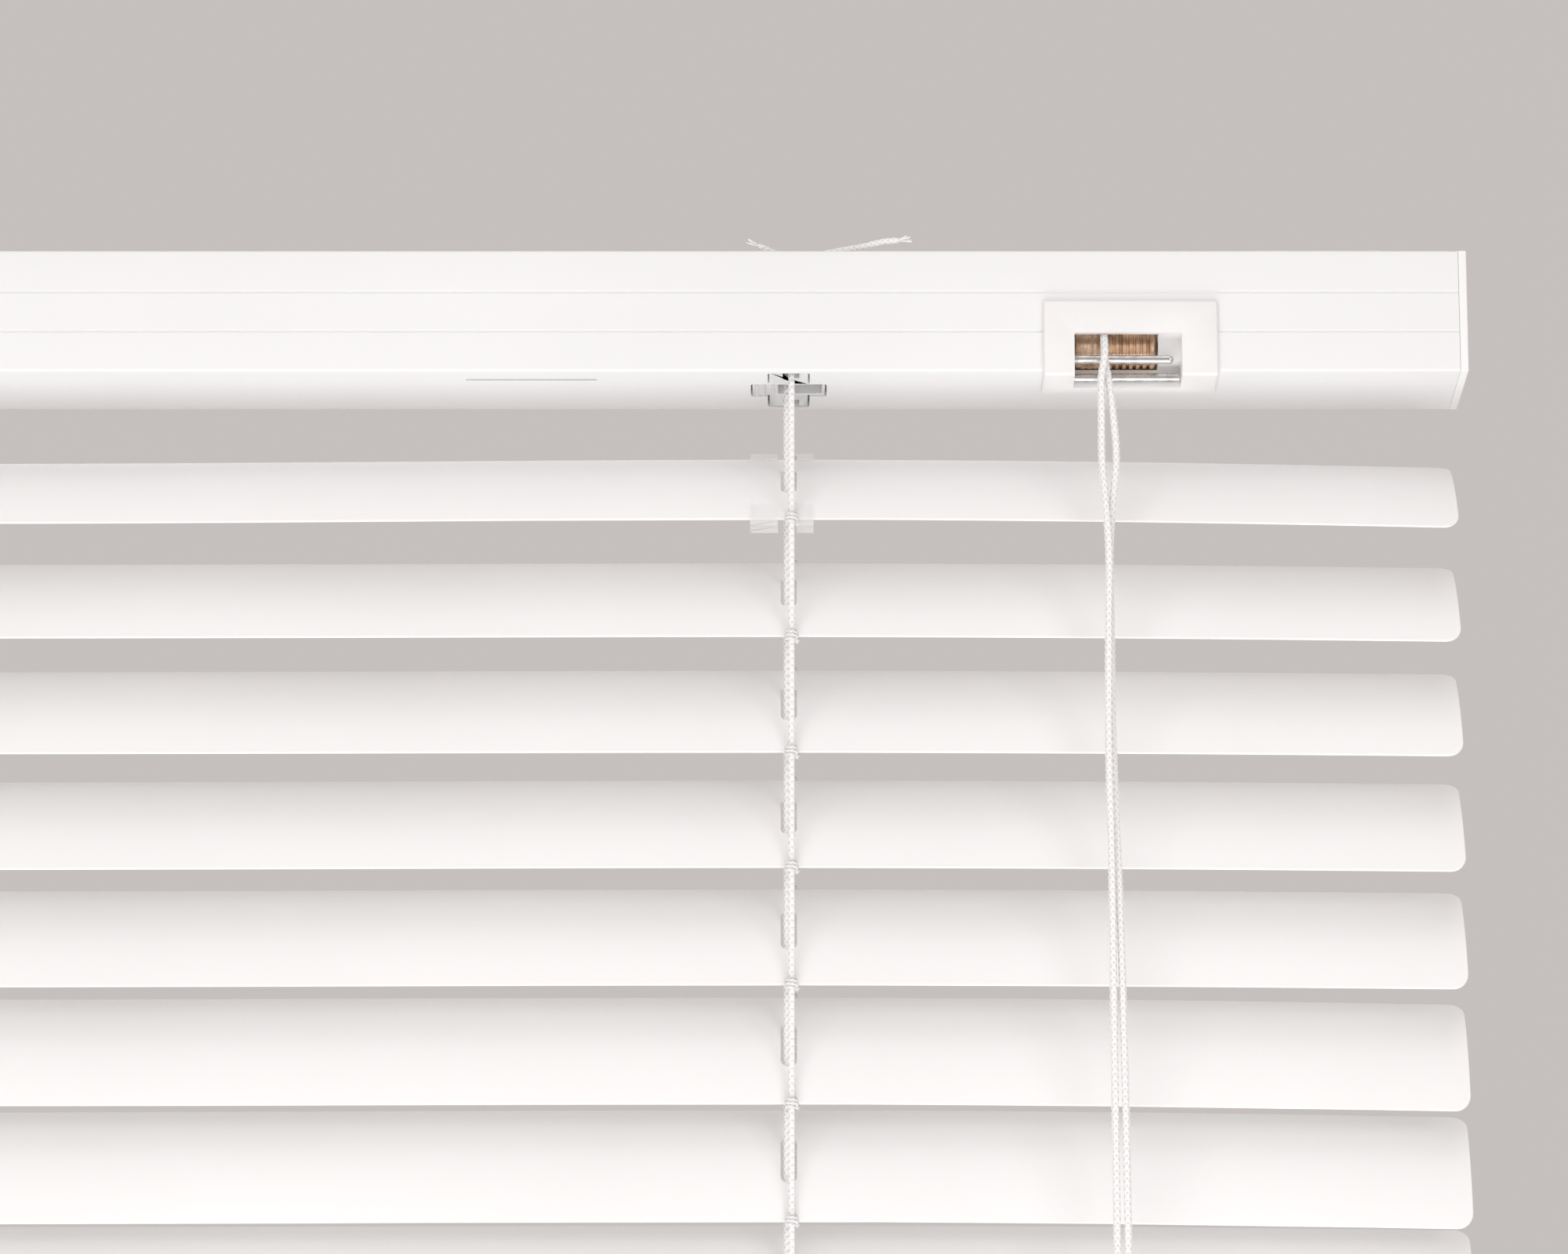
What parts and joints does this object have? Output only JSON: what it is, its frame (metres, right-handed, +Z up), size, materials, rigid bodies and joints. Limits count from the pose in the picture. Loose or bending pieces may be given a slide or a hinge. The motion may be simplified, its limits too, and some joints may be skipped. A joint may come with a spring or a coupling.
{
  "type": "venetian blind",
  "caption": "White slatted window blind with a channel headrail, cord lock, tilt wand, ladder strings and a bottom rail.",
  "frame": {"origin": "middle of the plane that both brackets are screwed up against, over the middle of the headrail", "axes": "+X along the headrail towards the cord lock, -Y towards the room, +Z up"},
  "size_m": [0.6, 0.0363, 0.3968],
  "materials": {
    "slat_pvc": "semi-gloss white PVC",
    "headrail_pvc": "semi-gloss white PVC",
    "bottom_rail_pvc": "semi-gloss white PVC",
    "bracket_steel": "white painted steel",
    "clear_plastic": "clear moulded plastic",
    "moulded_white": "satin moulded plastic",
    "nylon": "satin",
    "rod_steel": "zinc plated",
    "wire_steel": "bright drawn wire",
    "roller_brass": "ribbed, dull",
    "wand_plastic": "clear acrylic",
    "ladder_string": "braided polyester",
    "lift_cord": "braided polyester"
  },
  "bodies": {
    "root": {"headrail": "headrail_pvc", "end_cap_right": "headrail_pvc", "end_cap_left": "headrail_pvc", "bracket_right": "bracket_steel", "bracket_left": "bracket_steel", "cord_lock_housing": "moulded_white", "lock_wire": "wire_steel", "cradle_right": "clear_plastic", "cradle_left": "clear_plastic", "tilter_housing": "moulded_white", "pull_cord_1": "lift_cord", "pull_cord_2": "lift_cord"},
    "tilt_shaft": {"tilt_rod": "rod_steel", "drum_right": "nylon", "drum_left": "nylon", "tilt_gear": "nylon"},
    "tilter_worm": {"tilter_worm": "wire_steel"},
    "wand_hook": {"wand_hook": "wire_steel"},
    "wand": {"wand": "wand_plastic"},
    "lock_roller": {"lock_roller": "roller_brass"},
    "tassel": {"tassel": "moulded_white"},
    "ladder_front": {"ladder_front_right": "ladder_string", "ladder_front_left": "ladder_string"},
    "ladder_rear": {"ladder_rear_right": "ladder_string", "ladder_rear_left": "ladder_string"},
    "bottom_rail": {"bottom_rail": "bottom_rail_pvc", "bottom_cap_right": "bottom_rail_pvc", "bottom_cap_left": "bottom_rail_pvc", "lift_cord_right": "lift_cord", "lift_cord_left": "lift_cord"},
    "slat_01": {"slat_01": "slat_pvc"},
    "slat_02": {"slat_02": "slat_pvc"},
    "rung_02": {"rung_02": "ladder_string"},
    "slat_03": {"slat_03": "slat_pvc"},
    "rung_03": {"rung_03": "ladder_string"},
    "slat_04": {"slat_04": "slat_pvc"},
    "rung_04": {"rung_04": "ladder_string"},
    "slat_05": {"slat_05": "slat_pvc"},
    "rung_05": {"rung_05": "ladder_string"},
    "slat_06": {"slat_06": "slat_pvc"},
    "rung_06": {"rung_06": "ladder_string"},
    "slat_07": {"slat_07": "slat_pvc"},
    "rung_07": {"rung_07": "ladder_string"},
    "slat_08": {"slat_08": "slat_pvc"},
    "rung_08": {"rung_08": "ladder_string"},
    "slat_09": {"slat_09": "slat_pvc"},
    "rung_09": {"rung_09": "ladder_string"},
    "slat_10": {"slat_10": "slat_pvc"},
    "rung_10": {"rung_10": "ladder_string"},
    "slat_11": {"slat_11": "slat_pvc"},
    "rung_11": {"rung_11": "ladder_string"},
    "slat_12": {"slat_12": "slat_pvc"},
    "rung_12": {"rung_12": "ladder_string"},
    "slat_13": {"slat_13": "slat_pvc"},
    "rung_13": {"rung_13": "ladder_string"},
    "slat_14": {"slat_14": "slat_pvc"},
    "rung_14": {"rung_14": "ladder_string"},
    "slat_15": {"slat_15": "slat_pvc"},
    "rung_15": {"rung_15": "ladder_string"},
    "slat_16": {"slat_16": "slat_pvc"}
  },
  "joints": [
    {"name": "tilt", "type": "hinge", "parent": "root", "child": "tilt_shaft", "pos_m": [0, 0, -0.0135], "axis": [1, 0, 0], "range_deg": [-134, 2]},
    {"name": "lift", "type": "slide", "parent": "root", "child": "bottom_rail", "axis": [0, 0, 1], "range_m": [0, 0.2475], "deforming": ["lift_cord_right", "lift_cord_left", "ladder_front_right", "ladder_front_left", "ladder_rear_right", "ladder_rear_left"]},
    {"name": "ladder_front_shift", "type": "hinge", "parent": "tilt_shaft", "child": "ladder_front", "pos_m": [0, -0.00304, -0.02579], "axis": [1, 0, 0], "range_deg": [-2, 134]},
    {"name": "ladder_rear_shift", "type": "hinge", "parent": "tilt_shaft", "child": "ladder_rear", "pos_m": [0, 0.00673, -0.00278], "axis": [1, 0, 0], "range_deg": [-2, 134]},
    {"name": "worm_spin", "type": "hinge", "parent": "root", "child": "tilter_worm", "pos_m": [-0.235, -0.00589, -0.0101], "axis": [0, -0.5, -0.866], "range_deg": [-1608, 24]},
    {"name": "wand_swing", "type": "hinge", "parent": "root", "child": "wand_hook", "pos_m": [-0.235, -0.01764, -0.03045], "axis": [-1, 0, 0], "range_deg": [0, 45]},
    {"name": "wand_spin", "type": "hinge", "parent": "wand_hook", "child": "wand", "pos_m": [-0.235, -0.01764, -0.03045], "axis": [0, 0, -1], "range_deg": [-1608, 24]},
    {"name": "roller_spin", "type": "hinge", "parent": "root", "child": "lock_roller", "pos_m": [0.225, -0.005, -0.0191], "axis": [1, 0, 0], "continuous": true},
    {"name": "tassel_drop", "type": "slide", "parent": "root", "child": "tassel", "axis": [0, 0, -1], "range_m": [0, 0.24752], "deforming": ["pull_cord_1", "pull_cord_2"]},
    {"name": "slat_01_tilt", "type": "hinge", "parent": "root", "child": "slat_01", "pos_m": [0, 0, -0.0434], "axis": [1, 0, 0], "range_deg": [-86, 1.28]},
    {"name": "rung_02_lift", "type": "slide", "parent": "root", "child": "rung_02", "axis": [0, 0, 1], "range_m": [0, 0.01652]},
    {"name": "slat_02_tilt", "type": "hinge", "parent": "rung_02", "child": "slat_02", "pos_m": [0, 0, -0.0654], "axis": [1, 0, 0], "range_deg": [-98, 1.46], "deforming": ["rung_02"]},
    {"name": "rung_03_lift", "type": "slide", "parent": "root", "child": "rung_03", "axis": [0, 0, 1], "range_m": [0, 0.03302]},
    {"name": "slat_03_tilt", "type": "hinge", "parent": "rung_03", "child": "slat_03", "pos_m": [0, 0, -0.0874], "axis": [1, 0, 0], "range_deg": [-105, 1.57], "deforming": ["rung_03"]},
    {"name": "rung_04_lift", "type": "slide", "parent": "root", "child": "rung_04", "axis": [0, 0, 1], "range_m": [0, 0.04952]},
    {"name": "slat_04_tilt", "type": "hinge", "parent": "rung_04", "child": "slat_04", "pos_m": [0, 0, -0.1094], "axis": [1, 0, 0], "range_deg": [-109, 1.63], "deforming": ["rung_04"]},
    {"name": "rung_05_lift", "type": "slide", "parent": "root", "child": "rung_05", "axis": [0, 0, 1], "range_m": [0, 0.06602]},
    {"name": "slat_05_tilt", "type": "hinge", "parent": "rung_05", "child": "slat_05", "pos_m": [0, 0, -0.1314], "axis": [1, 0, 0], "range_deg": [-117, 1.75], "deforming": ["rung_05"]},
    {"name": "rung_06_lift", "type": "slide", "parent": "root", "child": "rung_06", "axis": [0, 0, 1], "range_m": [0, 0.08252]},
    {"name": "slat_06_tilt", "type": "hinge", "parent": "rung_06", "child": "slat_06", "pos_m": [0, 0, -0.1534], "axis": [1, 0, 0], "range_deg": [-129, 1.93], "deforming": ["rung_06"]},
    {"name": "rung_07_lift", "type": "slide", "parent": "root", "child": "rung_07", "axis": [0, 0, 1], "range_m": [0, 0.09902]},
    {"name": "slat_07_tilt", "type": "hinge", "parent": "rung_07", "child": "slat_07", "pos_m": [0, 0, -0.1754], "axis": [1, 0, 0], "range_deg": [-134, 2], "deforming": ["rung_07"]},
    {"name": "rung_08_lift", "type": "slide", "parent": "root", "child": "rung_08", "axis": [0, 0, 1], "range_m": [0, 0.11552]},
    {"name": "slat_08_tilt", "type": "hinge", "parent": "rung_08", "child": "slat_08", "pos_m": [0, 0, -0.1974], "axis": [1, 0, 0], "range_deg": [-134, 2], "deforming": ["rung_08"]},
    {"name": "rung_09_lift", "type": "slide", "parent": "root", "child": "rung_09", "axis": [0, 0, 1], "range_m": [0, 0.13202]},
    {"name": "slat_09_tilt", "type": "hinge", "parent": "rung_09", "child": "slat_09", "pos_m": [0, 0, -0.2194], "axis": [1, 0, 0], "range_deg": [-134, 2], "deforming": ["rung_09"]},
    {"name": "rung_10_lift", "type": "slide", "parent": "root", "child": "rung_10", "axis": [0, 0, 1], "range_m": [0, 0.14852]},
    {"name": "slat_10_tilt", "type": "hinge", "parent": "rung_10", "child": "slat_10", "pos_m": [0, 0, -0.2414], "axis": [1, 0, 0], "range_deg": [-134, 2], "deforming": ["rung_10"]},
    {"name": "rung_11_lift", "type": "slide", "parent": "root", "child": "rung_11", "axis": [0, 0, 1], "range_m": [0, 0.16502]},
    {"name": "slat_11_tilt", "type": "hinge", "parent": "rung_11", "child": "slat_11", "pos_m": [0, 0, -0.2634], "axis": [1, 0, 0], "range_deg": [-134, 2], "deforming": ["rung_11"]},
    {"name": "rung_12_lift", "type": "slide", "parent": "root", "child": "rung_12", "axis": [0, 0, 1], "range_m": [0, 0.18152]},
    {"name": "slat_12_tilt", "type": "hinge", "parent": "rung_12", "child": "slat_12", "pos_m": [0, 0, -0.2854], "axis": [1, 0, 0], "range_deg": [-134, 2], "deforming": ["rung_12"]},
    {"name": "rung_13_lift", "type": "slide", "parent": "root", "child": "rung_13", "axis": [0, 0, 1], "range_m": [0, 0.19802]},
    {"name": "slat_13_tilt", "type": "hinge", "parent": "rung_13", "child": "slat_13", "pos_m": [0, 0, -0.3074], "axis": [1, 0, 0], "range_deg": [-134, 2], "deforming": ["rung_13"]},
    {"name": "rung_14_lift", "type": "slide", "parent": "root", "child": "rung_14", "axis": [0, 0, 1], "range_m": [0, 0.21452]},
    {"name": "slat_14_tilt", "type": "hinge", "parent": "rung_14", "child": "slat_14", "pos_m": [0, 0, -0.3294], "axis": [1, 0, 0], "range_deg": [-134, 2], "deforming": ["rung_14"]},
    {"name": "rung_15_lift", "type": "slide", "parent": "root", "child": "rung_15", "axis": [0, 0, 1], "range_m": [0, 0.23102]},
    {"name": "slat_15_tilt", "type": "hinge", "parent": "rung_15", "child": "slat_15", "pos_m": [0, 0, -0.3514], "axis": [1, 0, 0], "range_deg": [-134, 2], "deforming": ["rung_15"]},
    {"name": "slat_16_tilt", "type": "hinge", "parent": "bottom_rail", "child": "slat_16", "pos_m": [0, 0, -0.3734], "axis": [1, 0, 0], "range_deg": [-134, 2]}
  ],
  "couplings": [
    {"joint": "ladder_front_shift", "follows": "tilt", "ratio": -1},
    {"joint": "ladder_rear_shift", "follows": "tilt", "ratio": -1},
    {"joint": "worm_spin", "follows": "tilt", "ratio": 12},
    {"joint": "wand_spin", "follows": "tilt", "ratio": 12},
    {"joint": "tassel_drop", "follows": "lift", "ratio": 1},
    {"joint": "slat_01_tilt", "follows": "tilt", "ratio": 0.64179},
    {"joint": "rung_02_lift", "follows": "lift", "ratio": 0.066667},
    {"joint": "slat_02_tilt", "follows": "tilt", "ratio": 0.73134},
    {"joint": "rung_03_lift", "follows": "lift", "ratio": 0.13333},
    {"joint": "slat_03_tilt", "follows": "tilt", "ratio": 0.78358},
    {"joint": "rung_04_lift", "follows": "lift", "ratio": 0.2},
    {"joint": "slat_04_tilt", "follows": "tilt", "ratio": 0.81343},
    {"joint": "rung_05_lift", "follows": "lift", "ratio": 0.26667},
    {"joint": "slat_05_tilt", "follows": "tilt", "ratio": 0.87313},
    {"joint": "rung_06_lift", "follows": "lift", "ratio": 0.33333},
    {"joint": "slat_06_tilt", "follows": "tilt", "ratio": 0.96269},
    {"joint": "rung_07_lift", "follows": "lift", "ratio": 0.4},
    {"joint": "slat_07_tilt", "follows": "tilt", "ratio": 1},
    {"joint": "rung_08_lift", "follows": "lift", "ratio": 0.46667},
    {"joint": "slat_08_tilt", "follows": "tilt", "ratio": 1},
    {"joint": "rung_09_lift", "follows": "lift", "ratio": 0.53333},
    {"joint": "slat_09_tilt", "follows": "tilt", "ratio": 1},
    {"joint": "rung_10_lift", "follows": "lift", "ratio": 0.6},
    {"joint": "slat_10_tilt", "follows": "tilt", "ratio": 1},
    {"joint": "rung_11_lift", "follows": "lift", "ratio": 0.66667},
    {"joint": "slat_11_tilt", "follows": "tilt", "ratio": 1},
    {"joint": "rung_12_lift", "follows": "lift", "ratio": 0.73333},
    {"joint": "slat_12_tilt", "follows": "tilt", "ratio": 1},
    {"joint": "rung_13_lift", "follows": "lift", "ratio": 0.8},
    {"joint": "slat_13_tilt", "follows": "tilt", "ratio": 1},
    {"joint": "rung_14_lift", "follows": "lift", "ratio": 0.86667},
    {"joint": "slat_14_tilt", "follows": "tilt", "ratio": 1},
    {"joint": "rung_15_lift", "follows": "lift", "ratio": 0.93333},
    {"joint": "slat_15_tilt", "follows": "tilt", "ratio": 1},
    {"joint": "slat_16_tilt", "follows": "tilt", "ratio": 1}
  ]
}
